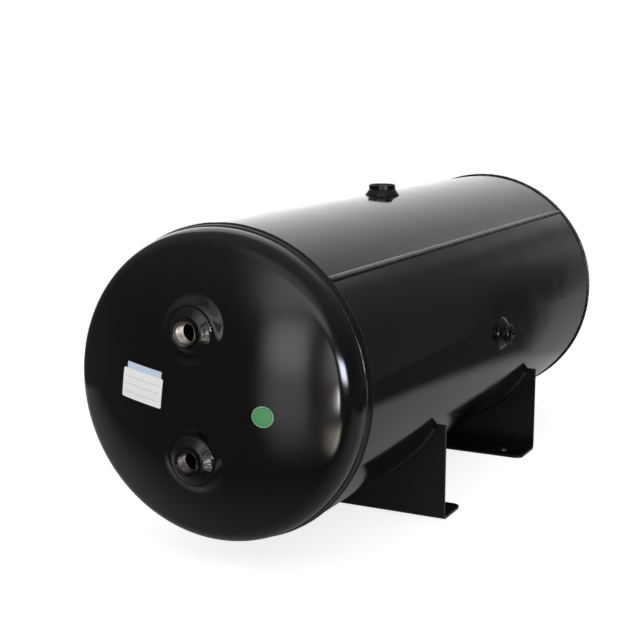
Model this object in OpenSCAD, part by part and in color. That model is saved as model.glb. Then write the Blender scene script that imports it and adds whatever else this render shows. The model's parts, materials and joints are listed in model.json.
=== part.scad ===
// Horizontal pressure tank on two bent-plate feet: rolled shell, dished heads, threaded ports.
// The tank's axis lies along X, the head with the two ports faces -X, and the feet stand on z = 0.

/* [Shell] */
// Outside diameter of the rolled shell
shell_od = 396; // [360:1:440]
// Length of the shell between its two ends
shell_len = 932; // [800:1:1200]
// Thickness of the shell's sheet
shell_wall = 3; // [2:0.1:5]
// Height of the shell's lowest line above the floor
ground_gap = 31; // [24:1:60]
// Angle of the lengthwise seam above the horizontal, on the -Y side
seam_angle = 44.5; // [30:0.5:60]
// Width of the lengthwise seam's weld bead
seam_w = 8; // [5:0.5:14]
// Height of the lengthwise seam's weld bead
seam_h = 1.4; // [0.8:0.1:3]

/* [Heads] */
// Thickness of the heads' sheet
head_wall = 3; // [2:0.1:5]
// Outside radius of the heads' crown
crown_r = 402; // [340:1:520]
// Outside radius of the heads' knuckle
knuckle_r = 32; // [20:1:60]
// Straight skirt that shows outside the shell
skirt_len = 18; // [12:1:40]
// Straight skirt that slides into the shell
skirt_lap = 22; // [12:1:40]
// How far the weld round a head rises over the shell
girth_rise = 1.5; // [0.5:0.1:4]

/* [Ports in the front head] */
// Distance between the two ports, across the head's centre
head_port_pitch = 156; // [120:1:200]
// Thread diameter of a head port
head_port_bore = 26.4; // [16:0.1:34]
// Wall of a head port's boss
head_port_wall = 3.8; // [3:0.1:8]
// How far a head port stands out from its pressed seat
head_port_stand = 11.5; // [9:0.5:30]
// Rise of the pressed seat over the dish, at the seat's edge nearest the head's centre
seat_rise = 0.4; // [0.2:0.1:4]
// Flat of the pressed seat that shows round the weld
seat_margin = 2; // [0.5:0.5:8]
// Slope of the pressed seat's side
seat_slope = 40; // [30:1:55]

/* [Ports in the shell] */
// Thread diameter of the top port
top_port_bore = 33.2; // [20:0.1:42]
// Wall of the top port's boss
top_port_wall = 3.4; // [3:0.1:8]
// How far the top port stands out from the shell
top_port_stand = 15; // [10:0.5:30]
// Thread diameter of the side port
side_port_bore = 21; // [12:0.1:34]
// Wall of the side port's boss
side_port_wall = 4; // [3:0.1:8]
// How far the side port stands out from the shell
side_port_stand = 13; // [9:0.5:30]
// Thread diameter of the drain port, under the shell
drain_port_bore = 21; // [12:0.1:34]
// Wall of the drain port's boss
drain_port_wall = 4; // [3:0.1:8]
// How far the drain port stands out from the shell
drain_port_stand = 12; // [9:0.5:20]
// How far every boss reaches past the inside of the wall
boss_inside = 5; // [1:0.5:12]
// Edge break at a boss's mouth
boss_edge = 1.2; // [0.5:0.1:2]
// Leg of the weld round each boss
boss_leg = 6; // [4:0.5:8]

/* [Feet] */
// Height of a foot's upright plate
foot_h = 135; // [100:1:160]
// Width of the flat at each top corner of a foot
foot_horn = 14; // [8:1:30]
// Thickness of a foot's plate
foot_wall = 4; // [3:0.5:8]
// Depth of a foot's flange, from the face of the upright plate
foot_flange = 67; // [45:1:100]
// Inside radius of a foot's bend
foot_bend = 3; // [1:0.5:8]
// Corner radius at the flange's free corners
foot_corner = 12; // [4:1:20]
// Distance between the outer faces of the two upright plates
foot_span = 404; // [300:1:600]
// Diameter of a bolt hole in a flange
bolt_d = 14; // [8:0.5:20]
// Distance between the two bolt holes of a foot
bolt_pitch = 300; // [200:1:320]
// Leg of the welds between a foot and the shell
foot_leg = 5; // [3:0.5:8]
// Angle from straight down at which a foot's welds start
foot_weld_start_angle = 20; // [5:1:35]
// Angle between the end of a foot's weld and the foot's top corner
foot_weld_end_angle = 1.5; // [0.5:0.5:10]

/* [Fit] */
// Gap between a piece and the hole or curve that it sits in
fit_gap = 0.1; // [0.05:0.05:0.3]

/* [Hidden] */
$fn = 128;
// Facets of the shell's circle under the low bead of the lengthwise seam
seam_facets = 720;

paint = [0.07, 0.07, 0.08];
weld_paint = [0.12, 0.12, 0.13];

// Ends of the tank along X, sides along Y and Z, and turns of the shell's ports from the top
front = -1;
rear = 1;
left = 1;
right = -1;
upper = 1;
lower = -1;
top_turn = 0;
side_turn = 90;
drain_turn = 180;

// How far a cut runs past the faces that it cuts
overcut = 1;
// Distance of the arc of a weld's face behind the weld's corner, in legs
bead_back = 1;
// Share of a boss's wall that the break of one edge may take
edge_share = 0.3;

// Shell: its radius and the height of its axis
shell_r = shell_od / 2;
axis_h = shell_r + ground_gap;

// Dish: the crown's arc and the knuckle's arc touch on the line through their centres
head_r = shell_r - shell_wall - fit_gap;
crown_to_knuckle = crown_r - knuckle_r;
knuckle_at = head_r - knuckle_r;
crown_z = skirt_len - sqrt(pow(crown_to_knuckle, 2) - pow(knuckle_at, 2));
dish_angle = asin(knuckle_at / crown_to_knuckle);
crown_edge_z = crown_z + crown_r * cos(dish_angle);
girth_leg = shell_wall + fit_gap + girth_rise;

// Bosses, and the pressed seats of the head ports, flat across the tank's axis
head_port_od = head_port_bore + 2 * head_port_wall;
top_port_od = top_port_bore + 2 * top_port_wall;
side_port_od = side_port_bore + 2 * side_port_wall;
drain_port_od = drain_port_bore + 2 * drain_port_wall;
head_port_at = head_port_pitch / 2;
seat_r = head_port_od / 2 + boss_leg + seat_margin;
seat_z = crown_z + sqrt(pow(crown_r, 2) - pow(head_port_at - seat_r, 2)) + seat_rise;
seat_drop = seat_z - crown_edge_z;

// Foot: the angle at which the shell passes its top, its width, its bend and its bolt holes
foot_arc = acos((axis_h - foot_h) / shell_r);
foot_w = 2 * (shell_r * sin(foot_arc) + foot_horn);
foot_bend_outer = foot_bend + foot_wall;
foot_weld_turn = foot_arc - foot_weld_end_angle - foot_weld_start_angle;
bolt_at = (foot_bend_outer + foot_flange) / 2;

// Bead on the lengthwise seam, as a low circular segment
seam_arc_r = (pow(seam_w / 2, 2) + pow(seam_h, 2)) / (2 * seam_h);

// Carries a shape made along +Z to one end of the shell, pointing outwards
module at_end(end) {
    translate([end * shell_len / 2, 0, axis_h]) rotate([0, end * 90, 0]) children();
}

// Carries a shape made along +Z to the shell's middle, pointing outwards at an angle from the top
module at_middle(turn) {
    translate([0, 0, axis_h]) rotate([turn, 0, 0]) children();
}

// Carries a shape made along Z to the tank's axis, with its own +X at the lengthwise seam
module along_shell() {
    translate([0, 0, axis_h]) rotate([0, 90, 0]) rotate([0, 0, -90 - seam_angle]) children();
}

module shell_outside() {
    along_shell() cylinder(r = shell_r, h = shell_len, center = true);
}

// Section of a fillet weld in the corner at [0, 0], with a slightly full face
module fillet_area(leg) {
    back = bead_back * leg;
    intersection() {
        square(leg);
        translate([-back, -back]) circle(r = norm([leg + back, back]));
    }
}

// Half section of a dish filled to its axis, its outline moved in by a sheet's thickness,
// from the given depth inside the shell outwards
module dish_area(inset, depth) {
    reach = 2 * crown_r;
    intersection() {
        translate([0, -depth]) square([reach, reach]);
        union() {
            intersection() {
                translate([0, crown_z]) circle(r = crown_r - inset);
                polygon([
                    [0, crown_z],
                    [reach * sin(dish_angle), crown_z + reach * cos(dish_angle)],
                    [0, crown_z + reach]
                ]);
            }
            translate([knuckle_at, skirt_len]) circle(r = knuckle_r - inset);
            polygon([
                [0, -depth],
                [head_r - inset, -depth],
                [head_r - inset, skirt_len],
                [knuckle_at, skirt_len]
            ]);
        }
    }
}

module dish_outside() {
    rotate_extrude() dish_area(0, skirt_lap);
}

module dish_inside() {
    rotate_extrude() dish_area(head_wall, skirt_lap + overcut);
}

// Pressed seat as a cone with a flat top at z = 0, its top and side moved in by a sheet's thickness
module seat_cone(inset) {
    top_r = seat_r - inset * tan(seat_slope / 2);
    grow = (seat_drop - inset) / tan(seat_slope);
    rotate_extrude()
        polygon([[0, -seat_drop], [top_r + grow, -seat_drop], [top_r, -inset], [0, -inset]]);
}

// Carries a shape made along +Z to the flat of a pressed seat on a head
module at_seat(side) {
    translate([side * head_port_at, 0, seat_z]) children();
}

module at_both_seats() {
    for (side = [lower, upper]) at_seat(side) children();
}

// Turned boss with its seat at z = 0, its mouth up, and both edges of the mouth broken
module boss(bore, wall, stand, embed) {
    bore_r = bore / 2;
    out_r = bore_r + wall;
    edge = min(boss_edge, edge_share * wall);
    rotate_extrude() polygon([
        [bore_r, -embed],
        [out_r, -embed],
        [out_r, stand - edge],
        [out_r - edge, stand],
        [bore_r + edge, stand],
        [bore_r, stand - edge]
    ]);
}

// Boss in a pressed seat of the front head
module head_boss(side) {
    at_end(front) at_seat(side)
        boss(head_port_bore, head_port_wall, head_port_stand, head_wall + boss_inside);
}

module head_boss_weld(side) {
    at_end(front) at_seat(side) rotate_extrude()
        translate([head_port_od / 2, 0]) fillet_area(boss_leg);
}

// Boss through the shell's wall
module shell_boss(turn, bore, wall, stand) {
    at_middle(turn) translate([0, 0, shell_r]) boss(bore, wall, stand, shell_wall + boss_inside);
}

// Weld round a boss on the shell, cut to the shell's curve
module shell_boss_weld(turn, od) {
    toe_r = od / 2 + boss_leg;
    skirt = shell_r - sqrt(pow(shell_r, 2) - pow(toe_r, 2)) + overcut;
    difference() {
        at_middle(turn) translate([0, 0, shell_r]) rotate_extrude() translate([od / 2, 0]) {
            fillet_area(boss_leg);
            translate([0, -skirt]) square([boss_leg, skirt]);
        }
        shell_outside();
    }
}

// Hole in the shell for a boss
module shell_port_hole(turn, od) {
    at_middle(turn) cylinder(d = od + 2 * fit_gap, h = shell_r + overcut);
}

// Weld in the corner between the shell's end and a head's skirt
module girth_weld(end) {
    at_end(end) rotate_extrude() translate([head_r, 0]) fillet_area(girth_leg);
}

// Section of a foot across its bend, from the upright plate's outer face inwards
module foot_area() {
    translate([0, foot_bend_outer]) square([foot_wall, foot_h - foot_bend_outer]);
    translate([foot_bend_outer, 0]) square([foot_flange - foot_bend_outer, foot_wall]);
    intersection() {
        square(foot_bend_outer);
        translate([foot_bend_outer, foot_bend_outer]) difference() {
            circle(r = foot_bend_outer);
            circle(r = foot_bend);
        }
    }
}

// Outline of a foot from above, with the flange's free corners rounded
module foot_plan() {
    square_w = foot_w - 2 * foot_corner;
    translate([0, -foot_w / 2]) square([foot_flange - foot_corner, foot_w]);
    translate([0, -square_w / 2]) square([foot_flange, square_w]);
    for (side = [right, left])
        translate([foot_flange - foot_corner, side * square_w / 2]) circle(r = foot_corner);
}

// Foot with its outer face at x = 0 and its flange towards +X
module bent_foot() {
    difference() {
        intersection() {
            rotate([90, 0, 0]) linear_extrude(height = foot_w, center = true) foot_area();
            linear_extrude(height = foot_h) foot_plan();
        }
        translate([0, 0, axis_h]) rotate([0, 90, 0])
            cylinder(r = shell_r + fit_gap, h = 2 * (foot_flange + overcut), center = true);
        for (side = [right, left])
            translate([bolt_at, side * bolt_pitch / 2, -overcut])
                cylinder(d = bolt_d, h = foot_wall + 2 * overcut);
    }
}

// Foot at one end, with its flange towards the tank's middle
module foot(end) {
    translate([end * foot_span / 2, 0, 0]) mirror([end == rear ? 1 : 0, 0, 0]) bent_foot();
}

// Run of weld on one face of a foot's plate, towards the given end, on one side of the tank
module foot_weld_run(face_x, end, side) {
    start = side == left ? foot_weld_start_angle : -foot_weld_start_angle - foot_weld_turn;
    translate([face_x, 0, axis_h]) rotate([0, 90, 0]) rotate([0, 0, start])
        rotate_extrude(angle = foot_weld_turn)
            translate([shell_r, 0]) mirror([0, end == front ? 1 : 0]) fillet_area(foot_leg);
}

// Two runs of weld on one side of a foot, on the outer and the inner face of its plate
module foot_weld(end, side) {
    outer_face = end * foot_span / 2;
    foot_weld_run(outer_face, end, side);
    foot_weld_run(outer_face - end * foot_wall, -end, side);
}

module shell() {
    color(paint) difference() {
        shell_outside();
        along_shell()
            cylinder(r = shell_r - shell_wall, h = shell_len + 2 * overcut, center = true);
        shell_port_hole(top_turn, top_port_od);
        shell_port_hole(side_turn, side_port_od);
        shell_port_hole(drain_turn, drain_port_od);
    }
}

module seam_weld() {
    color(weld_paint) along_shell() linear_extrude(height = shell_len, center = true) difference() {
        translate([shell_r + seam_h - seam_arc_r, 0]) circle(r = seam_arc_r);
        circle(r = shell_r, $fn = seam_facets);
    }
}

module front_head() {
    color(paint) at_end(front) difference() {
        union() {
            dish_outside();
            at_both_seats() seat_cone(0);
        }
        dish_inside();
        at_both_seats() seat_cone(head_wall);
        at_both_seats() cylinder(d = head_port_od + 2 * fit_gap, h = 2 * seat_drop, center = true);
    }
}

module rear_head() {
    color(paint) at_end(rear) difference() {
        dish_outside();
        dish_inside();
    }
}

module front_girth_weld() { color(weld_paint) girth_weld(front); }
module rear_girth_weld() { color(weld_paint) girth_weld(rear); }

module upper_port_boss() { color(paint) head_boss(upper); }
module lower_port_boss() { color(paint) head_boss(lower); }
module upper_port_weld() { color(weld_paint) head_boss_weld(upper); }
module lower_port_weld() { color(weld_paint) head_boss_weld(lower); }

module top_port_boss() {
    color(paint) shell_boss(top_turn, top_port_bore, top_port_wall, top_port_stand);
}

module side_port_boss() {
    color(paint) shell_boss(side_turn, side_port_bore, side_port_wall, side_port_stand);
}

module drain_port_boss() {
    color(paint) shell_boss(drain_turn, drain_port_bore, drain_port_wall, drain_port_stand);
}

module top_port_weld() { color(weld_paint) shell_boss_weld(top_turn, top_port_od); }
module side_port_weld() { color(weld_paint) shell_boss_weld(side_turn, side_port_od); }
module drain_port_weld() { color(weld_paint) shell_boss_weld(drain_turn, drain_port_od); }

module front_foot() { color(paint) foot(front); }
module rear_foot() { color(paint) foot(rear); }
module front_foot_left_weld() { color(weld_paint) foot_weld(front, left); }
module front_foot_right_weld() { color(weld_paint) foot_weld(front, right); }
module rear_foot_left_weld() { color(weld_paint) foot_weld(rear, left); }
module rear_foot_right_weld() { color(weld_paint) foot_weld(rear, right); }

shell();
seam_weld();
front_head();
rear_head();
front_girth_weld();
rear_girth_weld();
upper_port_boss();
lower_port_boss();
upper_port_weld();
lower_port_weld();
top_port_boss();
side_port_boss();
drain_port_boss();
top_port_weld();
side_port_weld();
drain_port_weld();
front_foot();
rear_foot();
front_foot_left_weld();
front_foot_right_weld();
rear_foot_left_weld();
rear_foot_right_weld();
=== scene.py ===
"""Horizontal pressure tank: a welded steel air receiver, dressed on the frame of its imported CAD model."""
import json
import math

import bmesh
import bpy
from mathutils import Matrix, Quaternion, Vector, noise


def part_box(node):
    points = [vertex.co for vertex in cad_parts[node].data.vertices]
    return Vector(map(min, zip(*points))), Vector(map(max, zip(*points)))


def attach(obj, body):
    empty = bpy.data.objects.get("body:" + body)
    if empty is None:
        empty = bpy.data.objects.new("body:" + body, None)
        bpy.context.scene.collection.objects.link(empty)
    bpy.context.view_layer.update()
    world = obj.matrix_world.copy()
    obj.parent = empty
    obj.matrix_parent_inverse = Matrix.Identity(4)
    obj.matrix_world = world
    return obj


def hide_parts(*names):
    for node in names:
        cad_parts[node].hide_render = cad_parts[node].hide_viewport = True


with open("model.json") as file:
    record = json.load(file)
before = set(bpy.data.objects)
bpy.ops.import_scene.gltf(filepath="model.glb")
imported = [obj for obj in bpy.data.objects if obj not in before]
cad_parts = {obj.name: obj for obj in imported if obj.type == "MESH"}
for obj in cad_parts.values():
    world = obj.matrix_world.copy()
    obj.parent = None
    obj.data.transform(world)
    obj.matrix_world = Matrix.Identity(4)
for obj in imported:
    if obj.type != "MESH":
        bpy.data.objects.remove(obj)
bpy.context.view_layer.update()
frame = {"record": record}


# Shell
# One steel sheet, 3 mm thick, rolled to a tube, welded along its length and sprayed in glossy black enamel.
# The rolls leave a strip on each side of that weld nearly flat, so the tube peaks there by a millimetre.
# Round holes at its top, its right side and its underside take the threaded bosses.
shell_low, shell_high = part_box("shell")
shell_half_length = (shell_high.x - shell_low.x) / 2
shell_radius = (shell_high.z - shell_low.z) / 2
axis_height = (shell_high.z + shell_low.z) / 2
tank_axis = Vector((1, 0, 0))
tank_middle = Vector((0, 0, axis_height))
seam_low, seam_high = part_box("seam_weld")
seam_out = ((seam_low + seam_high) / 2 - tank_middle).normalized()
sheet_wall = 0.003
sheet_rows = 96
sheet_columns = 288
row_crowding = 0.36
flat_beside_seam = 0.022
end_corner_round = 0.0006
sheet_wave = 0.00016
sheet_wave_scale = 6.5
sheet_dent = 0.00008
sheet_dent_scale = 21.0
boss_fit = 0.0001
peel_scale = 520.0
swell_scale = 60.0
cloud_scale = 9.0
nib_scale = 42.0
nib_height = 0.00005
dust_scale = 210.0
dust_tone = (0.22, 0.21, 0.20, 1)
dust_cover = 0.02
nib_cover = 0.10
cloud_dulling = 0.045
dust_dulling = 0.05
nib_dulling = 0.20
enamel_ior = 1.42
mounts = {mount["name"]: mount for mount in frame["record"]["mounts"]}


def outer_radius(node, facing):
    """The outer radius of a round node that faces along one of the frame's axes."""
    low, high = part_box(node)
    return abs((high - low).dot(facing.yzx)) / 2


def port_place(port):
    """Where a port's boss is: its mouth, the way that it faces, its length and its outer radius."""
    low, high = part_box(port + "_boss")
    facing = Vector(mounts[port]["axis"])
    length = abs((high - low).dot(facing))
    mouth = (low + high) / 2 + facing * length / 2
    return mouth, facing, length, outer_radius(port + "_boss", facing)


def open_hole(skin, centre, facing, radius):
    """Cut a round hole in a single skin: drop the faces inside it and draw its rim onto the circle."""
    def from_axis(point):
        reach = point - centre
        return reach - facing * reach.dot(facing)

    dropped = {
        face for face in skin.faces
        if face.normal.dot(facing) > 0.5 and from_axis(face.calc_center_median()).length < radius
    }
    rim = {
        vert for face in dropped for vert in face.verts
        if any(other not in dropped for other in vert.link_faces)
    }
    bmesh.ops.delete(skin, geom=list(dropped), context="FACES")
    for vert in rim:
        out = from_axis(vert.co)
        vert.co += out * (radius / out.length - 1)


class Shade:
    """A socket of a node tree: sums on it add Math nodes, and node() adds a node of any other kind."""

    def __init__(self, tree, socket=None):
        self.tree = tree
        self.socket = socket

    def node(self, kind, settings=None, inputs=None, output=0):
        made = self.tree.nodes.new(kind)
        for key, value in (settings or {}).items():
            setattr(made, key, value)
        for key, value in (inputs or {}).items():
            if isinstance(value, Shade):
                self.tree.links.new(value.socket, made.inputs[key])
            else:
                made.inputs[key].default_value = value
        return Shade(self.tree, made.outputs[output] if made.outputs else None)

    def beside(self, output):
        """Another output of the node that this socket belongs to."""
        return Shade(self.tree, self.socket.node.outputs[output])

    def math(self, operation, first, second):
        return self.node("ShaderNodeMath", {"operation": operation}, {0: first, 1: second})

    def __add__(self, other):
        return self.math("ADD", self, other)

    __radd__ = __add__

    def __sub__(self, other):
        return self.math("SUBTRACT", self, other)

    def __rsub__(self, other):
        return self.math("SUBTRACT", other, self)

    def __mul__(self, other):
        return self.math("MULTIPLY", self, other)

    __rmul__ = __mul__

    def __truediv__(self, other):
        return self.math("DIVIDE", self, other)

    def __abs__(self):
        return self.math("ABSOLUTE", self, 0.0)

    def step(self, start, end):
        """0 before start and 1 past end, with a soft change between; the two may be in either order."""
        return self.node(
            "ShaderNodeMapRange", {"interpolation_type": "SMOOTHSTEP"},
            {"Value": self, "From Min": start, "From Max": end},
        )

    def grain(self, scale, detail=2.0, roughness=0.5):
        """Noise over this vector, with about `scale` lumps to the metre."""
        return self.node(
            "ShaderNodeTexNoise", {},
            {"Vector": self, "Scale": scale, "Detail": detail, "Roughness": roughness},
        )

    def along(self, direction):
        """This vector's length along a direction."""
        return self.node(
            "ShaderNodeVectorMath", {"operation": "DOT_PRODUCT"},
            {0: self, 1: tuple(direction)}, output="Value",
        )

    def blend(self, first, second):
        """The first colour where this value is 0 and the second where it is 1."""
        return self.node("ShaderNodeMix", {"data_type": "RGBA"}, {0: self, 6: first, 7: second}, output=2)


def new_finish(name):
    """An empty material, and the Object coordinates from which its pattern is made."""
    finish = bpy.data.materials.new(name)
    finish.use_nodes = True
    finish.node_tree.nodes.clear()
    return finish, Shade(finish.node_tree).node("ShaderNodeTexCoord", output="Object")


def close_finish(place, height, **sockets):
    """Principled shader with a bump of the given height in metres, wired to the material's output."""
    bump = place.node(
        "ShaderNodeBump", {}, {"Strength": 1.0, "Distance": 1.0, "Height": height}, output="Normal",
    )
    inputs = {key.replace("_", " "): value for key, value in sockets.items()}
    shader = place.node("ShaderNodeBsdfPrincipled", {}, {**inputs, "Normal": bump})
    place.node("ShaderNodeOutputMaterial", {}, {"Surface": shader})


def black_enamel(name, gloss_roughness, peel_height, swell_height, base=(0.0030, 0.0030, 0.0032, 1)):
    """Sprayed enamel: orange peel, slow swell, dust nibs under the film and a breath of dust on it."""
    finish, place = new_finish(name)
    peel = place.grain(peel_scale, detail=1.5)
    swell = place.grain(swell_scale, detail=1.0)
    cloud = place.grain(cloud_scale, detail=4.0, roughness=0.6)
    nibs = place.node("ShaderNodeTexVoronoi", {}, {"Vector": place, "Scale": nib_scale}, output="Distance")
    nib = nibs.step(0.045, 0.015) * nibs.beside("Color").step(0.80, 0.82)
    upward = place.node("ShaderNodeNewGeometry", output="Normal").along((0, 0, 1)).step(0.25, 1.0)
    dust = upward * cloud.step(0.35, 0.75) * place.grain(dust_scale, detail=3.0).step(0.40, 0.65)
    tone = (dust * dust_cover + nib * nib_cover).blend(base, dust_tone)
    dulling = cloud.step(0.35, 0.70) * cloud_dulling + dust * dust_dulling + nib * nib_dulling
    close_finish(
        place,
        peel * peel_height + swell * swell_height + nib * nib_height,
        Base_Color=tone,
        Roughness=gloss_roughness + dulling,
        IOR=enamel_ior,
    )
    return finish


def add_piece(name, mesh, finish, slot, *nodes, sharp_angle=40):
    """Make a finished bmesh a piece that rides on the tank and stands for the CAD nodes that are named."""
    data = bpy.data.meshes.new(name)
    mesh.to_mesh(data)
    mesh.free()
    data.materials.append(finish)
    data.shade_smooth()
    data.set_sharp_from_angle(angle=math.radians(sharp_angle))
    piece = bpy.data.objects.new(name, data)
    bpy.context.scene.collection.objects.link(piece)
    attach(piece, "root")
    if nodes:
        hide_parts(*nodes)


def turn_round(outline, columns, sectors=12):
    """Turn an outline all round the tank's axis: one sector of it first, then copies side by side."""
    bmesh.ops.spin(
        outline, geom=outline.verts[:] + outline.edges[:], cent=tank_middle, axis=tank_axis,
        angle=math.tau / sectors, steps=columns // sectors,
    )
    bmesh.ops.spin(
        outline, geom=outline.verts[:] + outline.edges[:] + outline.faces[:], cent=tank_middle,
        axis=tank_axis, angle=math.tau * (sectors - 1) / sectors, steps=sectors - 1, use_duplicate=True,
    )
    bmesh.ops.remove_doubles(outline, verts=outline.verts, dist=1e-5)
    bmesh.ops.recalc_face_normals(outline, faces=outline.faces)


sheet = bmesh.new()
sheet_edge = sheet.verts.new(tank_middle + seam_out * shell_radius - tank_axis * shell_half_length)
row_step = tank_axis * (2 * shell_half_length / sheet_rows)
bmesh.ops.spin(
    sheet, geom=[sheet_edge], cent=tank_middle, axis=tank_axis, dvec=row_step, angle=0,
    steps=sheet_rows,
)
turn_round(sheet, sheet_columns)
for vert in sheet.verts:
    reach = vert.co.x / shell_half_length
    out = (vert.co - tank_middle - tank_axis * vert.co.x).normalized()
    from_seam = shell_radius * out.angle(seam_out, 0.0)
    flat = max(0.0, flat_beside_seam - from_seam) * (1 - reach ** 8)
    vert.co.x *= row_crowding + (1 - row_crowding) * reach ** 2
    wave = sheet_wave * noise.noise(vert.co * sheet_wave_scale)
    dent = sheet_dent * noise.noise(vert.co * sheet_dent_scale)
    vert.co += out * (flat ** 2 / (2 * shell_radius) + wave + dent)
for port in ("top_port", "side_port", "drain_port"):
    mouth, facing, length, boss_radius = port_place(port)
    open_hole(sheet, mouth, facing, boss_radius + boss_fit)
bmesh.ops.solidify(sheet, geom=sheet.faces[:], thickness=sheet_wall)
end_corners = [
    edge for edge in sheet.edges
    if all(abs(abs(vert.co.x) - shell_half_length) < 1e-5 for vert in edge.verts)
    and all((vert.co - tank_middle).yz.length > shell_radius - sheet_wall / 2 for vert in edge.verts)
]
bmesh.ops.bevel(
    sheet, geom=end_corners, offset=end_corner_round, offset_type="OFFSET", segments=2, profile=0.5,
    affect="EDGES", material=-1,
)
sheet_enamel = black_enamel("sheet enamel", gloss_roughness=0.085, peel_height=2.2e-6, swell_height=1.5e-5)
add_piece("shell_sheet", sheet, sheet_enamel, "black_paint", "shell", sharp_angle=15)


# Seam weld
# The bead that closes the rolled sheet along its length, laid by machine in one straight run.
# It is wide and low, leans a little to its lower side, runs out at both ends and is sprayed with the sheet.
bead_sides = 14
seam_bead_width = 0.0098
seam_bead_height = 0.0042
seam_lean = math.radians(12)
seam_rise = 0.0001
seam_run_out = 0.022
seam_end_sink = 0.0009
seam_ripple_pitch = 0.0031
crescent_bow = 0.3
crescent_crest = 0.67
slow_swell = 38
quick_swell = 130
lump_scale = 17
lump_shift = Vector((0, 9, 0))
lump_floor = 0.38
lump_gain = 3.0
stray_scale = 24
stray_shift = Vector((0, 5, 0))
stray_reach = 0.004


def bead_section(bead, centre, across, up, width, height, tilt=0.0, filled=False):
    """The oval section of a run of weld metal; the steel that it joins hides its lower half."""
    basis = Matrix((across, up, across.cross(up))).transposed().to_4x4()
    shape = Matrix.Rotation(tilt, 4, "Z") @ Matrix.Diagonal((width / 2, height / 2, 1, 1))
    bmesh.ops.create_circle(
        bead, cap_ends=filled, segments=bead_sides, radius=1,
        matrix=Matrix.Translation(centre) @ basis @ shape,
    )


def ripple(bead, run_at, sideways, pitch, depth, wander, seed, cuts):
    """Give a bead the crescents that the arc leaves, and let it swell, thin out and stray sideways.

    run_at gives, for a point of the bead, how far along the run it is and the middle of the bead there.
    """
    bmesh.ops.recalc_face_normals(bead, faces=bead.faces)
    lengthwise = [
        edge for edge in bead.edges
        if abs(run_at(edge.verts[0].co)[0] - run_at(edge.verts[1].co)[0]) > 1e-5
    ]
    bmesh.ops.subdivide_edges(bead, edges=lengthwise, cuts=cuts)
    for vert in bead.verts:
        run, middle = run_at(vert.co)
        offset = vert.co - middle
        bow = (offset.dot(sideways) / pitch) ** 2 * crescent_bow
        crescent = crescent_crest - ((run / pitch + bow) % 1.0) ** 2
        spot = middle + Vector((seed, 0, 0))
        swell = noise.noise(spot * slow_swell) * 0.6 + noise.noise(spot * quick_swell) * 0.4
        lump = max(0.0, noise.noise(spot * lump_scale + lump_shift) - lump_floor) * lump_gain
        stray = sideways * noise.noise(spot * stray_scale + stray_shift) * wander * stray_reach
        vert.co = middle + offset * (1 + depth * crescent + wander * (swell + lump)) + stray


seam_bead = bmesh.new()
seam_across = tank_axis.cross(seam_out)
seam_line = tank_middle + seam_out * (shell_radius + seam_rise)
bead_section(
    seam_bead, seam_line - tank_axis * shell_half_length, seam_across, seam_out,
    seam_bead_width, seam_bead_height, tilt=seam_lean, filled=True,
)
bmesh.ops.spin(
    seam_bead, geom=seam_bead.faces[:], cent=tank_middle, axis=tank_axis,
    dvec=tank_axis * (2 * shell_half_length), angle=0, steps=1,
)
ripple(
    seam_bead, lambda point: (point.x, seam_line + tank_axis * point.x), seam_across,
    seam_ripple_pitch, depth=0.05, wander=0.08, seed=1, cuts=1400,
)
for vert in seam_bead.verts:
    near_end = max(0.0, 1 - (shell_half_length - abs(vert.co.x)) / seam_run_out)
    vert.co -= seam_out * (seam_end_sink * near_end ** 2)
weld_enamel = black_enamel("weld enamel", gloss_roughness=0.13, peel_height=3.5e-6, swell_height=4.0e-5)
add_piece("seam_bead", seam_bead, weld_enamel, "painted_weld", "seam_weld", sharp_angle=60)


# Heads
# Two dished ends pressed from 3 mm sheet: a flat-arched crown, a tight knuckle and a short straight skirt,
# which slides into the shell's end. The front one has two flat seats for its ports; the rear one is plain.
head_low, head_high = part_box("front_head")
head_radius = (head_high.y - head_low.y) / 2
crown_radius = 0.402
knuckle_radius = 0.032
crown_middle = tank_middle + tank_axis * (head_low.x + crown_radius)
knuckle_from_axis = head_radius - knuckle_radius
crown_angle = math.asin(knuckle_from_axis / (crown_radius - knuckle_radius))
knuckle_x = crown_middle.x - (crown_radius - knuckle_radius) * math.cos(crown_angle)
seat_flat_radius = 0.0290
seat_outer_radius = 0.0435
seat_sink = 0.0030
seat_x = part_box("upper_port_weld")[1].x + seat_sink
head_wave = 0.00022
head_wave_scale = 9.0
head_dent = 0.00014
head_dent_scale = 24.0


def of_kind(parts, kind):
    """The corners, the edges or the faces among the parts that a mesh operator gives back."""
    return [part for part in parts if isinstance(part, kind)]


def head_skin(columns, crown_steps):
    """The outer skin of the front head: an outline of skirt, knuckle and crown, turned round the axis."""
    skin = bmesh.new()
    towards_front = Vector((0, -1, 0))
    skirt_end = Vector((head_high.x, 0, axis_height + head_radius))
    outline = [skin.verts.new(skirt_end)]
    skirt_steps, knuckle_steps = 6, 16
    outline = bmesh.ops.spin(
        skin, geom=outline, cent=tank_middle, axis=tank_axis, angle=0, steps=skirt_steps,
        dvec=tank_axis * ((knuckle_x - head_high.x) / skirt_steps),
    )["geom_last"]
    knuckle_middle = Vector((knuckle_x, 0, axis_height + knuckle_from_axis))
    for middle, angle, steps in (
        (knuckle_middle, math.pi / 2 - crown_angle, knuckle_steps),
        (crown_middle, crown_angle, crown_steps),
    ):
        outline = bmesh.ops.spin(
            skin, geom=of_kind(outline, bmesh.types.BMVert), cent=middle, axis=towards_front,
            angle=angle, steps=steps,
        )["geom_last"]
    turn_round(skin, columns)
    for vert in skin.verts:
        if vert.co.x < knuckle_x:
            wave = head_wave * noise.noise(vert.co * head_wave_scale)
            dent = head_dent * noise.noise(vert.co * head_dent_scale)
            vert.co += (vert.co - crown_middle).normalized() * (wave + dent)
    return skin


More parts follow.
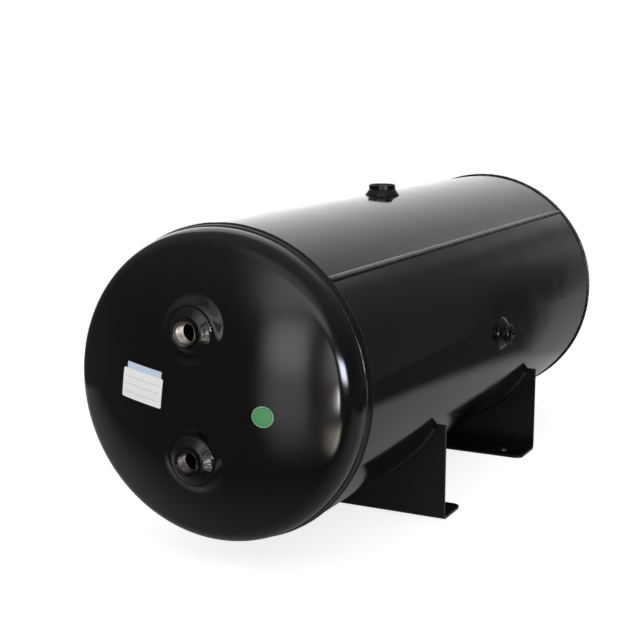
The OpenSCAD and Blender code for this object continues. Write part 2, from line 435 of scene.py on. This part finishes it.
def press_seat(skin, centre):
    """Press a round seat in the crown, flat at the foot of the port's weld, with sides that blend away."""
    for vert in skin.verts:
        from_port = Vector((0, vert.co.y - centre.y, vert.co.z - centre.z)).length
        if vert.co.x < knuckle_x and from_port < seat_outer_radius:
            side = max(0.0, from_port - seat_flat_radius) / (seat_outer_radius - seat_flat_radius)
            pressed = 1 - side ** 2 * (3 - 2 * side)
            vert.co.x += (seat_x - vert.co.x) * pressed


front_dish = head_skin(columns=384, crown_steps=72)
for port in ("upper_port", "lower_port"):
    mouth, facing, length, boss_radius = port_place(port)
    press_seat(front_dish, mouth)
    front_dish.normal_update()
    open_hole(front_dish, mouth, facing, boss_radius + boss_fit)
bmesh.ops.solidify(front_dish, geom=front_dish.faces[:], thickness=sheet_wall)
add_piece("front_dish", front_dish, sheet_enamel, "black_paint", "front_head")

rear_dish = head_skin(columns=240, crown_steps=48)
bmesh.ops.scale(rear_dish, vec=(-1, 1, 1), verts=rear_dish.verts)
bmesh.ops.recalc_face_normals(rear_dish, faces=rear_dish.faces)
bmesh.ops.solidify(rear_dish, geom=rear_dish.faces[:], thickness=sheet_wall)
add_piece("rear_dish", rear_dish, sheet_enamel, "black_paint", "rear_head")


# Girth welds
# The welds that join the heads to the shell's ends, laid by hand torch while the tank turns on rollers.
# Each has two ridges, one over the sheet's edge and one on the head's skirt; the rear weld is the fuller.
girth_outline = (
    (-0.0017, 0.0024), (-0.0012, 0.0034), (-0.0005, 0.0039), (0.0004, 0.0040), (0.0013, 0.0035),
    (0.0022, 0.0026), (0.0035, 0.0017), (0.0050, 0.0012), (0.0064, 0.0012), (0.0074, 0.0016),
    (0.0084, 0.0016), (0.0094, 0.0011), (0.0101, 0.0003), (0.0103, -0.0005), (0.0040, -0.0009),
    (-0.0017, -0.0009),
)
girth_middle_out = 0.0040
girth_middle_rise = 0.0010
girth_ripple_pitch = 0.0036
cuts_per_ripple = 4


def closed_ring(mesh, points):
    """Draw a closed outline through some points and give back its corners and its sides."""
    corners = [mesh.verts.new(point) for point in points]
    sides = [mesh.edges.new((corner, corners[index - 1])) for index, corner in enumerate(corners)]
    return corners + sides


def run_round(point, axis, radius, height):
    """The run of a bead that goes round an axis at a radius, at a height along the axis from a point."""
    side = axis.orthogonal().normalized()
    front = axis.cross(side)

    def run_at(place):
        reach = place - point
        out = (reach - axis * reach.dot(axis)).normalized()
        turn = math.atan2(out.dot(front), out.dot(side))
        return turn * radius, point + out * radius + axis * height

    return run_at


for end, head, fullness in ((-1, "front", 1.0), (1, "rear", 1.4)):
    girth_bead = bmesh.new()
    girth_radius = head_radius + girth_middle_rise
    girth_height = end * (shell_half_length + girth_middle_out)
    ripples = round(math.tau * girth_radius / girth_ripple_pitch)
    closed_ring(girth_bead, [
        (end * (shell_half_length + out), 0, axis_height + head_radius + rise * fullness)
        for out, rise in girth_outline
    ])
    bmesh.ops.spin(
        girth_bead, geom=girth_bead.verts[:] + girth_bead.edges[:], cent=tank_middle, axis=tank_axis,
        angle=math.tau, steps=ripples, use_merge=True,
    )
    ripple(
        girth_bead, run_round(tank_middle, tank_axis, girth_radius, girth_height), tank_axis,
        math.tau * girth_radius / ripples, depth=0.04, wander=0.16, seed=3 + end, cuts=cuts_per_ripple,
    )
    add_piece(
        head + "_girth_bead", girth_bead, weld_enamel, "painted_weld", head + "_girth_weld", sharp_angle=60,
    )


# Threaded bosses
# Short steel sockets turned from bar, with a coned lead and a parallel pipe thread cut right through each.
# They go through holes in the front head and the shell and are sprayed with them; the threads stay bare.
boss_edge = 0.0011
lead_out = 0.0018
lead_depth = 0.0034
boss_columns = 96
thread_columns = 72
thread_pitches = {
    "upper_port": 0.001814, "lower_port": 0.001814, "top_port": 0.002309,
    "side_port": 0.001814, "drain_port": 0.001814,
}
thread_depth_share = 0.62
thread_flat_share = 0.14
thread_back = 0.0004
thread_end_gap = 0.0007
lead_lift = 0.00005
bare_leads = ("upper_port", "lower_port")
oil_tint_scale = 70.0
tool_line_scale = 1500.0
tool_line_height = 6.0e-6
oil_tint_cover = 0.8
cut_roughness = 0.22
tool_line_dulling = 0.14
oil_tint_dulling = 0.12
up = Vector((0, 0, 1))


def port_frame(port):
    """A boss's own frame: mouth at the origin, facing +z, +x along the tank, or across it on a head."""
    mouth, facing, length, boss_radius = port_place(port)
    across = Vector((0, 1, 0)) if abs(facing.x) > 0.5 else tank_axis
    basis = Matrix((across, facing.cross(across), facing)).transposed().to_4x4()
    return Matrix.Translation(mouth) @ basis


def bare_steel(name, bright, dull):
    """Cut steel in a thread: bright, with fine tool lines and patches that old oil tints brown."""
    finish, place = new_finish(name)
    tint = place.grain(oil_tint_scale, detail=3.0).step(0.38, 0.72)
    lines = place.grain(tool_line_scale, detail=2.0, roughness=0.6)
    close_finish(
        place, lines * tool_line_height, Base_Color=(tint * oil_tint_cover).blend(bright, dull),
        Metallic=1.0, Roughness=cut_roughness + lines * tool_line_dulling + tint * oil_tint_dulling,
    )
    return finish


boss_enamel = black_enamel("boss enamel", gloss_roughness=0.11, peel_height=3.0e-6, swell_height=1.0e-5)
clean_steel = bare_steel("clean thread steel", (0.36, 0.345, 0.32, 1), (0.21, 0.17, 0.13, 1))
oiled_steel = bare_steel("oiled thread steel", (0.11, 0.10, 0.10, 1), (0.06, 0.048, 0.042, 1))
for port, pitch in thread_pitches.items():
    mouth, facing, length, boss_radius = port_place(port)
    bore_radius = mounts[port]["dims"]["r_mm"] / 1000

    boss = bmesh.new()
    closed_ring(boss, [
        (bore_radius, 0, -lead_depth), (bore_radius + lead_out, 0, 0), (boss_radius, 0, 0),
        (boss_radius, 0, -length), (bore_radius, 0, -length),
    ])
    bmesh.ops.spin(
        boss, geom=boss.verts[:] + boss.edges[:], cent=(0, 0, 0), axis=up, angle=math.tau,
        steps=boss_columns, use_merge=True,
    )
    bmesh.ops.recalc_face_normals(boss, faces=boss.faces)
    rim = [
        edge for edge in boss.edges
        if all(abs(vert.co.z) < 1e-6 and vert.co.length > boss_radius - 1e-5 for vert in edge.verts)
    ]
    bmesh.ops.bevel(
        boss, geom=rim, offset=boss_edge, offset_type="OFFSET", segments=4, profile=0.5,
        affect="EDGES", material=-1,
    )
    bmesh.ops.transform(boss, matrix=port_frame(port), verts=boss.verts)
    add_piece(port + "_socket", boss, boss_enamel, "black_paint", port + "_boss", sharp_angle=10)

    thread = bmesh.new()
    depth = thread_depth_share * pitch
    flat = thread_flat_share * pitch
    turns = math.ceil(length / pitch) + 2
    thread_points = [
        (bore_radius, 0), (bore_radius, flat), (bore_radius - depth, pitch / 2),
        (bore_radius - depth, pitch / 2 + flat), (bore_radius, pitch),
    ]
    chain = [thread.verts.new((radius, 0, height - length - pitch)) for radius, height in thread_points]
    for first, second in zip(chain, chain[1:]):
        thread.edges.new((first, second))
    bmesh.ops.spin(
        thread, geom=thread.verts[:] + thread.edges[:], cent=(0, 0, 0), axis=up, angle=math.tau * turns,
        steps=thread_columns * turns, dvec=up * (pitch / thread_columns),
    )
    bmesh.ops.remove_doubles(thread, verts=thread.verts, dist=1e-5)
    for height, outwards in ((-lead_depth, 1), (thread_end_gap - length, -1)):
        bmesh.ops.bisect_plane(
            thread, geom=thread.verts[:] + thread.edges[:] + thread.faces[:], plane_co=(0, 0, height),
            plane_no=up * outwards, clear_outer=True,
        )
    bmesh.ops.recalc_face_normals(thread, faces=thread.faces)
    inwards = thread.faces[:][0]
    if inwards.normal.dot(inwards.calc_center_median() * Vector((1, 1, 0))) > 0:
        bmesh.ops.reverse_faces(thread, faces=thread.faces)
    bmesh.ops.solidify(thread, geom=thread.faces[:], thickness=thread_back)
    if port in bare_leads:
        lead_foot = lead_lift - (lead_out + thread_back) * lead_depth / lead_out
        lead = closed_ring(thread, [
            (bore_radius + aside, 0, height)
            for aside, height in ((lead_out, lead_lift), (-thread_back, lead_foot), (lead_out, lead_foot))
        ])
        bmesh.ops.spin(
            thread, geom=lead, cent=(0, 0, 0), axis=up, angle=math.tau, steps=thread_columns,
            use_merge=True,
        )
        bmesh.ops.recalc_face_normals(thread, faces=thread.faces)
    bmesh.ops.transform(thread, matrix=port_frame(port), verts=thread.verts)
    thread_steel = clean_steel if port == "upper_port" else oiled_steel
    add_piece(port + "_thread", thread, thread_steel, "bare_thread", sharp_angle=30)


# Boss welds
# A fillet run by hand round each boss where it leaves the head or the shell, sprayed over with the tank.
# On the head it is wide and flat; on the shell the run rides up and down over the curve of the sheet.
fillet_outline = (
    (-0.06, 1.04), (0.08, 1.02), (0.22, 0.90), (0.40, 0.69), (0.58, 0.49), (0.76, 0.31),
    (0.92, 0.14), (1.02, -0.03), (1.00, -0.20), (0.45, -0.45), (-0.06, -0.45),
)
fillet_middle = 0.34
fillet_widths = {
    "upper_port": 0.0120, "lower_port": 0.0125, "top_port": 0.0062,
    "side_port": 0.0098, "drain_port": 0.0080,
}
fillet_heights = {
    "upper_port": 0.0068, "lower_port": 0.0068, "top_port": 0.0078,
    "side_port": 0.0068, "drain_port": 0.0065,
}
boss_ripple_pitch = 0.0032
for port in thread_pitches:
    mouth, facing, length, boss_radius = port_place(port)
    on_head = abs(facing.x) > 0.5
    foot_height = abs(seat_x - mouth.x) if on_head else (mouth - tank_middle).length - shell_radius
    width, height = fillet_widths[port], fillet_heights[port]
    fillet = bmesh.new()
    closed_ring(fillet, [
        (boss_radius + aside * width, 0, rise * height - foot_height) for aside, rise in fillet_outline
    ])
    ring_radius = boss_radius + fillet_middle * width
    ring_height = fillet_middle * height - foot_height
    ripples = round(math.tau * ring_radius / boss_ripple_pitch)
    bmesh.ops.spin(
        fillet, geom=fillet.verts[:] + fillet.edges[:], cent=(0, 0, 0), axis=up, angle=math.tau,
        steps=ripples, use_merge=True,
    )
    ripple(
        fillet, run_round(Vector((0, 0, 0)), up, ring_radius, ring_height), up,
        math.tau * ring_radius / ripples, depth=0.07, wander=0.12, seed=mouth.length * 7,
        cuts=cuts_per_ripple,
    )
    if not on_head:
        for vert in fillet.verts:
            vert.co.z -= shell_radius - math.sqrt(shell_radius ** 2 - vert.co.y ** 2)
    bmesh.ops.transform(fillet, matrix=port_frame(port), verts=fillet.verts)
    add_piece(port + "_bead", fillet, weld_enamel, "painted_weld", port + "_weld", sharp_angle=60)


# Feet
# Two plates of 4 mm steel, each bent at its foot into a flange with rounded corners and two bolt holes.
# The upright's top edge is cut to the shell, and the flanges of the two feet point at each other.
foot_low, foot_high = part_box("front_foot")
foot_top = foot_high.z
foot_half_width = foot_high.y
foot_depth = foot_high.x - foot_low.x
foot_wall = 0.004
foot_bend = 0.003
foot_corner = 0.012
foot_edge = 0.0007
foot_arc_steps = 72
foot_bend_steps = 8
bolt_hole_sides = 48
bend_outer = foot_bend + foot_wall
cut_radius = shell_radius + boss_fit
cut_angle = math.acos((axis_height - foot_top) / cut_radius)
bolts = mounts["foot_bolts"]["dims"]
bolt_x = bolts["spacing_x_mm"] / 2000
bolt_y = bolts["spacing_y_mm"] / 2000
bolt_radius = bolts["hole_r_mm"] / 1000


def bent_foot():
    """A foot with its upright's outer face on x = 0 and its flange on the floor towards +x."""
    plate = bmesh.new()
    cut_end = Vector((0, cut_radius * math.sin(cut_angle), foot_top))
    bmesh.ops.spin(
        plate, geom=[plate.verts.new(cut_end)], cent=tank_middle, axis=tank_axis, angle=-2 * cut_angle,
        steps=foot_arc_steps,
    )
    corners = [
        (0, -foot_half_width, foot_top), (0, -foot_half_width, bend_outer),
        (0, foot_half_width, bend_outer), (0, foot_half_width, foot_top),
    ]
    upright = plate.faces.new(plate.verts[:] + [plate.verts.new(corner) for corner in corners])
    inner = bmesh.ops.extrude_face_region(plate, geom=[upright])["geom"]
    bmesh.ops.translate(plate, vec=tank_axis * foot_wall, verts=of_kind(inner, bmesh.types.BMVert))
    lower_edge = [
        face for face in plate.faces if all(abs(vert.co.z - bend_outer) < 1e-6 for vert in face.verts)
    ]
    bend_end = bmesh.ops.spin(
        plate, geom=lower_edge, cent=(bend_outer, 0, bend_outer), axis=(0, 1, 0),
        angle=-math.pi / 2, steps=foot_bend_steps,
    )["geom_last"]
    end_face = of_kind(bend_end, bmesh.types.BMFace)
    flange = bmesh.ops.extrude_face_region(plate, geom=end_face)["geom"]
    bmesh.ops.translate(
        plate, vec=tank_axis * (foot_depth - bend_outer), verts=of_kind(flange, bmesh.types.BMVert),
    )
    bmesh.ops.delete(plate, geom=lower_edge + end_face, context="FACES_ONLY")
    for beside_bend in (up, tank_axis):
        bmesh.ops.bisect_plane(
            plate, geom=plate.verts[:] + plate.edges[:] + plate.faces[:],
            plane_co=beside_bend * (bend_outer + foot_bend), plane_no=beside_bend,
        )
    bmesh.ops.recalc_face_normals(plate, faces=plate.faces)
    free_corners = [
        edge for edge in plate.edges
        if all(abs(vert.co.x - foot_depth) < 1e-6 for vert in edge.verts)
        and abs(edge.verts[0].co.y - edge.verts[1].co.y) < 1e-6
    ]
    bmesh.ops.bevel(
        plate, geom=free_corners, offset=foot_corner, offset_type="OFFSET", segments=10, profile=0.5,
        affect="EDGES", material=-1,
    )
    return plate


def cut_away(block, cutter):
    """Take one closed mesh out of another and give back the rest."""
    objects = []
    for name, mesh in (("block", block), ("cutter", cutter)):
        data = bpy.data.meshes.new(name)
        mesh.to_mesh(data)
        mesh.free()
        objects.append(bpy.data.objects.new(name, data))
        bpy.context.scene.collection.objects.link(objects[-1])
    boolean = objects[0].modifiers.new("cut", "BOOLEAN")
    boolean.operation = "DIFFERENCE"
    boolean.object = objects[1]
    rest = bmesh.new()
    rest.from_object(objects[0], bpy.context.evaluated_depsgraph_get())
    for temporary in objects:
        bpy.data.meshes.remove(temporary.data)
    return rest


plate_enamel = black_enamel("plate enamel", gloss_roughness=0.30, peel_height=2.6e-6, swell_height=3.0e-5)
for end, foot in ((-1, "front"), (1, "rear")):
    plate = bent_foot()
    drills = bmesh.new()
    for side in (-1, 1):
        drilled_at = Vector((-bolt_x - foot_low.x, side * bolt_y, 0))
        bmesh.ops.create_cone(
            drills, cap_ends=True, segments=bolt_hole_sides, radius1=bolt_radius, radius2=bolt_radius,
            depth=4 * foot_wall, matrix=Matrix.Translation(drilled_at),
        )
    plate = cut_away(plate, drills)
    bmesh.ops.remove_doubles(plate, verts=plate.verts, dist=1e-6)
    cut_edges = [edge for edge in plate.edges if edge.calc_face_angle(0.0) > math.radians(30)]
    bmesh.ops.bevel(
        plate, geom=cut_edges, offset=foot_edge, offset_type="OFFSET", segments=2, profile=0.5,
        affect="EDGES", material=-1, clamp_overlap=True,
    )
    bmesh.ops.translate(plate, vec=tank_axis * foot_low.x, verts=plate.verts)
    bmesh.ops.scale(plate, vec=(-end, 1, 1), verts=plate.verts)
    bmesh.ops.recalc_face_normals(plate, faces=plate.faces)
    add_piece(foot + "_foot_plate", plate, plate_enamel, "black_paint", foot + "_foot", sharp_angle=20)


# Foot welds
# Fillets on both faces of each upright, run by hand from near the tank's lowest line up to the top corners.
# They are the only fixing between the feet and the shell; a brown tint painted into their enamel stands in
# for a warm reflection along them.
foot_bead_leg = 0.005
foot_ripple_pitch = 0.0038
foot_bead_start = math.radians(20)
foot_bead_end_gap = math.radians(1.5)
foot_bead_turn = cut_angle - foot_bead_end_gap - foot_bead_start
foot_bead_inset = 0.28 * foot_bead_leg
foot_bead_width = 1.62 * foot_bead_leg
foot_bead_height = 0.92 * foot_bead_leg
foot_bead_radius = shell_radius + foot_bead_inset
foot_bead_steps = 48


def join(whole, part):
    """Add a second mesh to a first one and free the second."""
    data = bpy.data.meshes.new("part")
    part.to_mesh(data)
    part.free()
    whole.from_mesh(data)
    bpy.data.meshes.remove(data)


# Brown base colour on the foot welds' enamel: a painted warm reflection.
warm_reflection_weld_enamel = black_enamel(
    "weld enamel with painted warm reflection", gloss_roughness=0.15, peel_height=3.5e-6, swell_height=4.0e-5,
    base=(0.0100, 0.0046, 0.0038, 1),
)
for end, foot in ((-1, "front"), (1, "rear")):
    for side, hand in ((1, "left"), (-1, "right")):
        joined = bmesh.new()
        for face_x, outwards in ((foot_low.x, -1), (foot_low.x + foot_wall, 1)):
            run = bmesh.new()
            bead_x = -end * (face_x + outwards * foot_bead_inset)
            start_out = Vector((0, side * math.sin(foot_bead_start), -math.cos(foot_bead_start)))
            bead_section(
                run, tank_middle + tank_axis * bead_x + start_out * foot_bead_radius, tank_axis, start_out,
                foot_bead_width, foot_bead_height, tilt=math.pi / 4 * outwards * end, filled=True,
            )
            bmesh.ops.spin(
                run, geom=run.faces[:], cent=tank_middle, axis=tank_axis, angle=side * foot_bead_turn,
                steps=foot_bead_steps,
            )
            ripple(
                run, run_round(tank_middle, tank_axis, foot_bead_radius, bead_x), tank_axis,
                foot_ripple_pitch, depth=0.10, wander=0.24, seed=5 + end + 3 * side + outwards * 0.3,
                cuts=cuts_per_ripple,
            )
            join(joined, run)
        node = f"{foot}_foot_{hand}_weld"
        add_piece(f"{foot}_foot_{hand}_bead", joined, warm_reflection_weld_enamel, "painted_weld", node, sharp_angle=60)


# Paper label
# A white paper label with thin ruled lines on the front head, left of the ports, and a narrower strip of
# pale blue paper above it. Both are stuck on by hand, a little askew, and follow the crown.
label_middle = Vector((0, 0.0699, 0.2327))
label_tilt = math.radians(-7.4)
label_size = (0.0630, 0.0368)
strip_size = (0.0545, 0.0090)
strip_offset = (0.0010, 0.0222)
paper_thickness = 0.00018
paper_corner = 0.0018
fibre_scale = 2600.0
fibre_height = 1.2e-5
soil_scale = 60.0
rule_width = 0.00032
rule_heights = (0.0085, -0.0005, -0.0105)
rule_margin = 0.0035
rule_fade = 0.0005
strip_fade = 0.0002
rule_tone = (0.25, 0.25, 0.27, 1)
strip_tone = (0.55, 0.66, 0.80, 1)
clean_paper = (0.87, 0.87, 0.87, 1)
soiled_paper = (0.82, 0.825, 0.83, 1)
label_right = Vector((0, -math.cos(label_tilt), math.sin(label_tilt)))
label_up = Vector((0, math.sin(label_tilt), math.cos(label_tilt)))


def on_crown(point, lift):
    """A point pushed along the tank onto the front head's crown, and a little out of it."""
    aside = Vector((0, point.y, point.z - axis_height))
    surface = crown_middle + aside - tank_axis * math.sqrt(crown_radius ** 2 - aside.length_squared)
    return surface + (surface - crown_middle).normalized() * lift


def stick_on(flat, middle, right, upwards, lift, thickness):
    """Lay a flat mesh on the crown with its x to the right and its y up, and give it its thickness."""
    for vert in flat.verts:
        vert.co = on_crown(middle + right * vert.co.x + upwards * vert.co.y, lift)
    flat.normal_update()
    if flat.faces[:][0].normal.x > 0:
        bmesh.ops.reverse_faces(flat, faces=flat.faces)
    bmesh.ops.solidify(flat, geom=flat.faces[:], thickness=thickness)


def label_paper(name):
    """Uncoated paper with thin grey rules across it, and a pale blue strip at its top."""
    finish, place = new_finish(name)
    across = place.along(label_right) - label_right.dot(label_middle)
    height = place.along(label_up) - label_up.dot(label_middle)
    fibre = place.grain(fibre_scale, detail=3.0)
    soil = place.grain(soil_scale, detail=3.0).step(0.30, 0.75)
    strip = height.step(label_size[1] / 2 - strip_fade, label_size[1] / 2 + strip_fade)
    rules = 0.0
    for rule_height in rule_heights:
        rules = rules + abs(height - rule_height).step(rule_width * 1.4, rule_width * 0.7)
    rule_end = label_size[0] / 2 - rule_margin
    rules = rules * abs(across).step(rule_end, rule_end - rule_fade)
    paper = (soil * 0.5).blend(clean_paper, soiled_paper)
    tone = (rules * 0.55).blend(strip.blend(paper, strip_tone), rule_tone)
    close_finish(place, fibre * fibre_height, Base_Color=tone, Roughness=0.55 + fibre * 0.15)
    return finish


label = bmesh.new()
for size, offset, lift in (
    (label_size, (0, 0), 2 * paper_thickness), (strip_size, strip_offset, 1.2 * paper_thickness),
):
    paper = bmesh.new()
    bmesh.ops.create_grid(paper, x_segments=22, y_segments=14, size=0.5)
    bmesh.ops.scale(paper, vec=(*size, 1), verts=paper.verts)
    bmesh.ops.bevel(
        paper, geom=[vert for vert in paper.verts if len(vert.link_faces) == 1], affect="VERTICES",
        offset=min(paper_corner, size[1] / 16), offset_type="OFFSET", segments=4, profile=0.5, material=-1,
    )
    stick_on(
        paper, label_middle + label_right * offset[0] + label_up * offset[1], label_right, label_up,
        lift, paper_thickness,
    )
    join(label, paper)
add_piece("paper_label", label, label_paper("label paper"), "paper_label")


# Green sticker
# A round sticker of glossy green vinyl, low on the right of the front head and stuck on by hand.
# It has a pale rim and a thin dark ring printed inside it.
sticker_middle = Vector((0, -0.0932, 0.2141))
sticker_radius = 0.0128
sticker_rings = 9
vinyl_thickness = 0.00016
mottle_scale = 380.0
mottle_height = 4.0e-6
rim_width = 0.0010
rim_fade = 0.0004
ring_inset = 0.0021
ring_half_width = 0.0003
ring_fade = 0.0004
rim_tone = (0.240, 0.440, 0.280, 1)
ring_tone = (0.025, 0.150, 0.048, 1)
light_green = (0.080, 0.330, 0.115, 1)
deep_green = (0.058, 0.265, 0.092, 1)


def green_vinyl(name):
    """Printed vinyl under clear film: mid green, pale at the rim, one dark ring, slightly mottled."""
    finish, place = new_finish(name)
    across = place.along((0, 1, 0)) - sticker_middle.y
    height = place.along((0, 0, 1)) - sticker_middle.z
    from_middle = place.math("SQRT", across * across + height * height, 0.0)
    mottle = place.grain(mottle_scale, detail=3.0).step(0.30, 0.70)
    rim = from_middle.step(sticker_radius - rim_width - rim_fade, sticker_radius - rim_width)
    from_ring = abs(from_middle - (sticker_radius - ring_inset))
    ring = from_ring.step(ring_half_width + ring_fade, ring_half_width)
    green = (mottle * 0.6).blend(light_green, deep_green)
    tone = rim.blend((ring * 0.75).blend(green, ring_tone), rim_tone)
    close_finish(place, mottle * mottle_height, Base_Color=tone, Roughness=0.24 + mottle * 0.06)
    return finish


sticker = bmesh.new()
spoke = [sticker.verts.new((0, 0, 0))]
bmesh.ops.spin(
    sticker, geom=spoke, cent=(0, 0, 0), axis=up, angle=0, steps=sticker_rings,
    dvec=tank_axis * (sticker_radius / sticker_rings),
)
bmesh.ops.spin(
    sticker, geom=sticker.verts[:] + sticker.edges[:], cent=(0, 0, 0), axis=up, angle=math.tau, steps=64,
    use_merge=True,
)
bmesh.ops.remove_doubles(sticker, verts=sticker.verts, dist=1e-6)
stick_on(sticker, sticker_middle, Vector((0, -1, 0)), up, 1.5 * vinyl_thickness, vinyl_thickness)
add_piece("green_sticker", sticker, green_vinyl("green vinyl"), "green_sticker")


# Floor
# Plain white paper under the tank and behind it; to the tank's right the dark studio floor lies bare.
# To the camera all of it is white, with the tank's soft shadow; the paint mirrors it as it is.
floor_low = Vector((-0.70, -1.0, -0.0004))
floor_high = Vector((1.9, 1.0, -0.0004))
into_paper_from_right = (-0.54, 0.84, 0)
into_paper_behind = (0.33, 0.94, 0)
dark_floor = (0.06, 0.06, 0.06, 1)
white_paper = (0.62, 0.62, 0.62, 1)
paper_behind_share = 0.6
camera_white = 0.95
camera_paper_dimming = 0.17
mirrored_floor = 0.02
mirrored_paper = 0.07
floor_data = bmesh.new()
bmesh.ops.create_grid(floor_data, x_segments=1, y_segments=1, size=0.5)
bmesh.ops.scale(floor_data, vec=floor_high - floor_low, verts=floor_data.verts)
bmesh.ops.translate(floor_data, vec=(floor_low + floor_high) / 2, verts=floor_data.verts)
floor_mesh = bpy.data.meshes.new("studio_floor")
floor_data.to_mesh(floor_mesh)
floor_data.free()
floor = bpy.data.objects.new("studio_floor", floor_mesh)
bpy.context.scene.collection.objects.link(floor)
floor_finish, floor_place = new_finish("studio floor")
from_front = floor_place.along((1, 0, 0))
under_tank = floor_place.along(into_paper_from_right).step(-0.66, -0.45) * from_front.step(-0.74, -0.42)
behind_tank = floor_place.along(into_paper_behind).step(-0.085, 0.0) * from_front.step(0.45, 0.65)
on_paper = floor_place.math("MAXIMUM", under_tank, behind_tank * paper_behind_share)
path = floor_place.node("ShaderNodeLightPath", output="Is Camera Ray")
for_camera = (path + path.beside("Is Transmission Ray")) * (camera_white - on_paper * camera_paper_dimming)
for_paint = path.beside("Is Glossy Ray") * (mirrored_floor + on_paper * mirrored_paper)
diffuse = path.node("ShaderNodeBsdfDiffuse", {}, {"Color": on_paper.blend(dark_floor, white_paper)})
glow = path.node("ShaderNodeEmission", {}, {"Color": (1, 1, 1, 1), "Strength": for_camera + for_paint})
lit_floor = path.node("ShaderNodeAddShader", {}, {0: diffuse, 1: glow})
path.node("ShaderNodeOutputMaterial", {}, {"Surface": lit_floor})
floor_mesh.materials.append(floor_finish)


# Studio
# Soft light from the ported head's side lights the tank; the camera, and glass, see white all round.
# Paint and metal mirror a studio: a white backdrop behind the tank, a dim room, panels and lamps in front.
soft_low = (0.30, 0.30, 0.31, 1)
soft_high = (1.0, 1.0, 0.99, 1)
room_low = (0.115, 0.115, 0.12, 1)
room_high = (0.42, 0.42, 0.43, 1)
backdrop_dim = (0.55, 0.55, 0.55, 1)
backdrop_bright = (1.65, 1.65, 1.65, 1)


def heading(azimuth, elevation):
    """The direction at an azimuth from +x towards +y and an elevation, in degrees."""
    turn, rise = math.radians(azimuth), math.radians(elevation)
    return Vector((math.cos(rise) * math.cos(turn), math.cos(rise) * math.sin(turn), math.sin(rise)))


def panel(sky, azimuth, elevation, half_width, half_height, softness):
    """1 on a flat lit panel, fading to 0 at its edges; sizes are in degrees and softness is a share."""
    middle = heading(azimuth, elevation)
    right = heading(azimuth + 90, 0)
    ahead = sky.along(middle)
    shares = []
    for direction, half in ((right, half_width), (middle.cross(right), half_height)):
        edge = math.tan(math.radians(half))
        share = abs(sky.along(direction) / ahead)
        shares.append(share.step(edge * (1 + softness), edge * (1 - softness)))
    return ahead.step(0.0, 0.05) * shares[0] * shares[1]


world = bpy.data.worlds.new("studio")
bpy.context.scene.world = world
world.use_nodes = True
world.node_tree.nodes.clear()
sky = Shade(world.node_tree).node("ShaderNodeTexCoord", output="Generated")
light = sky.along((0, 0, 1)).step(0.10, 0.95).blend(room_low, room_high)
backdrop = sky.along(heading(106, 0)).step(-0.50, 0.50).blend(backdrop_dim, backdrop_bright)
on_backdrop = panel(sky, azimuth=20, elevation=22, half_width=30, half_height=34, softness=0.14)
light = on_backdrop.blend(light, backdrop)
for azimuth, elevation, half_width, half_height, softness, tone in (
    (-19, -5, 3, 9, 0.70, (0.045, 0.045, 0.045, 1)),
    (-13, -3, 4, 15, 0.35, (0.34, 0.34, 0.34, 1)),
    (-158, 42, 26, 22, 0.60, (1.2, 1.2, 1.2, 1)),
    (-158, 30, 22, 8, 0.40, (2.3, 2.3, 2.3, 1)),
    (-172.6, -4, 8.6, 22, 0.70, (1.75, 1.75, 1.75, 1)),
    (-172.2, 8, 7.2, 9, 0.75, (3.5, 3.5, 3.5, 1)),
    (-161, -6, 3.5, 20, 0.50, (0.40, 0.38, 0.38, 1)),
    (-153, 3, 5, 8, 0.50, (3.1, 2.9, 2.9, 1)),
    (-156, -16, 3, 9, 0.60, (0.7, 0.65, 0.65, 1)),
    (-151.7, -11.5, 2.2, 4, 0.50, (27.0, 24.5, 25.0, 1)),
    (-148, -27.5, 7.5, 4.5, 0.60, (7.2, 6.6, 5.6, 1)),
    (-124, 4, 11, 5.5, 0.40, (29.0, 30.5, 35.0, 1)),
):
    light = panel(sky, azimuth, elevation, half_width, half_height, softness).blend(light, tone)
soft = sky.along(heading(-165, 10)).step(-1.0, 1.0).blend(soft_low, soft_high)
path = sky.node("ShaderNodeLightPath", output="Is Camera Ray")
light = path.beside("Is Glossy Ray").blend(soft, light)
seen = path + path.beside("Is Transmission Ray")
light = seen.blend(light, (1, 1, 1, 1))
background = sky.node("ShaderNodeBackground", {}, {"Color": light, "Strength": 1.0})
sky.node("ShaderNodeOutputWorld", {}, {"Surface": background})
bpy.context.scene.view_settings.view_transform = "Standard"


# Camera
# It stands at the photograph's viewing angle, in front of the ported head and to the tank's right.
# Its lens is worked out for a square picture.
camera_at = Vector((-1.8266, -0.8109, 0.5953))
camera_aim = Vector((-0.2094, 0, 0.2665))
camera_roll = math.radians(0.125)
picture_width = 640
focal_pixels = 1312.6
sensor_width = 36.0
camera_data = bpy.data.cameras.new("camera")
camera_data.sensor_fit = "HORIZONTAL"
camera_data.sensor_width = sensor_width
camera_data.lens = focal_pixels / picture_width * sensor_width
camera = bpy.data.objects.new("camera", camera_data)
bpy.context.scene.collection.objects.link(camera)
camera_turn = (camera_aim - camera_at).to_track_quat("-Z", "Y") @ Quaternion((0, 0, 1), camera_roll)
camera.matrix_world = Matrix.Translation(camera_at) @ camera_turn.to_matrix().to_4x4()
bpy.context.scene.camera = camera
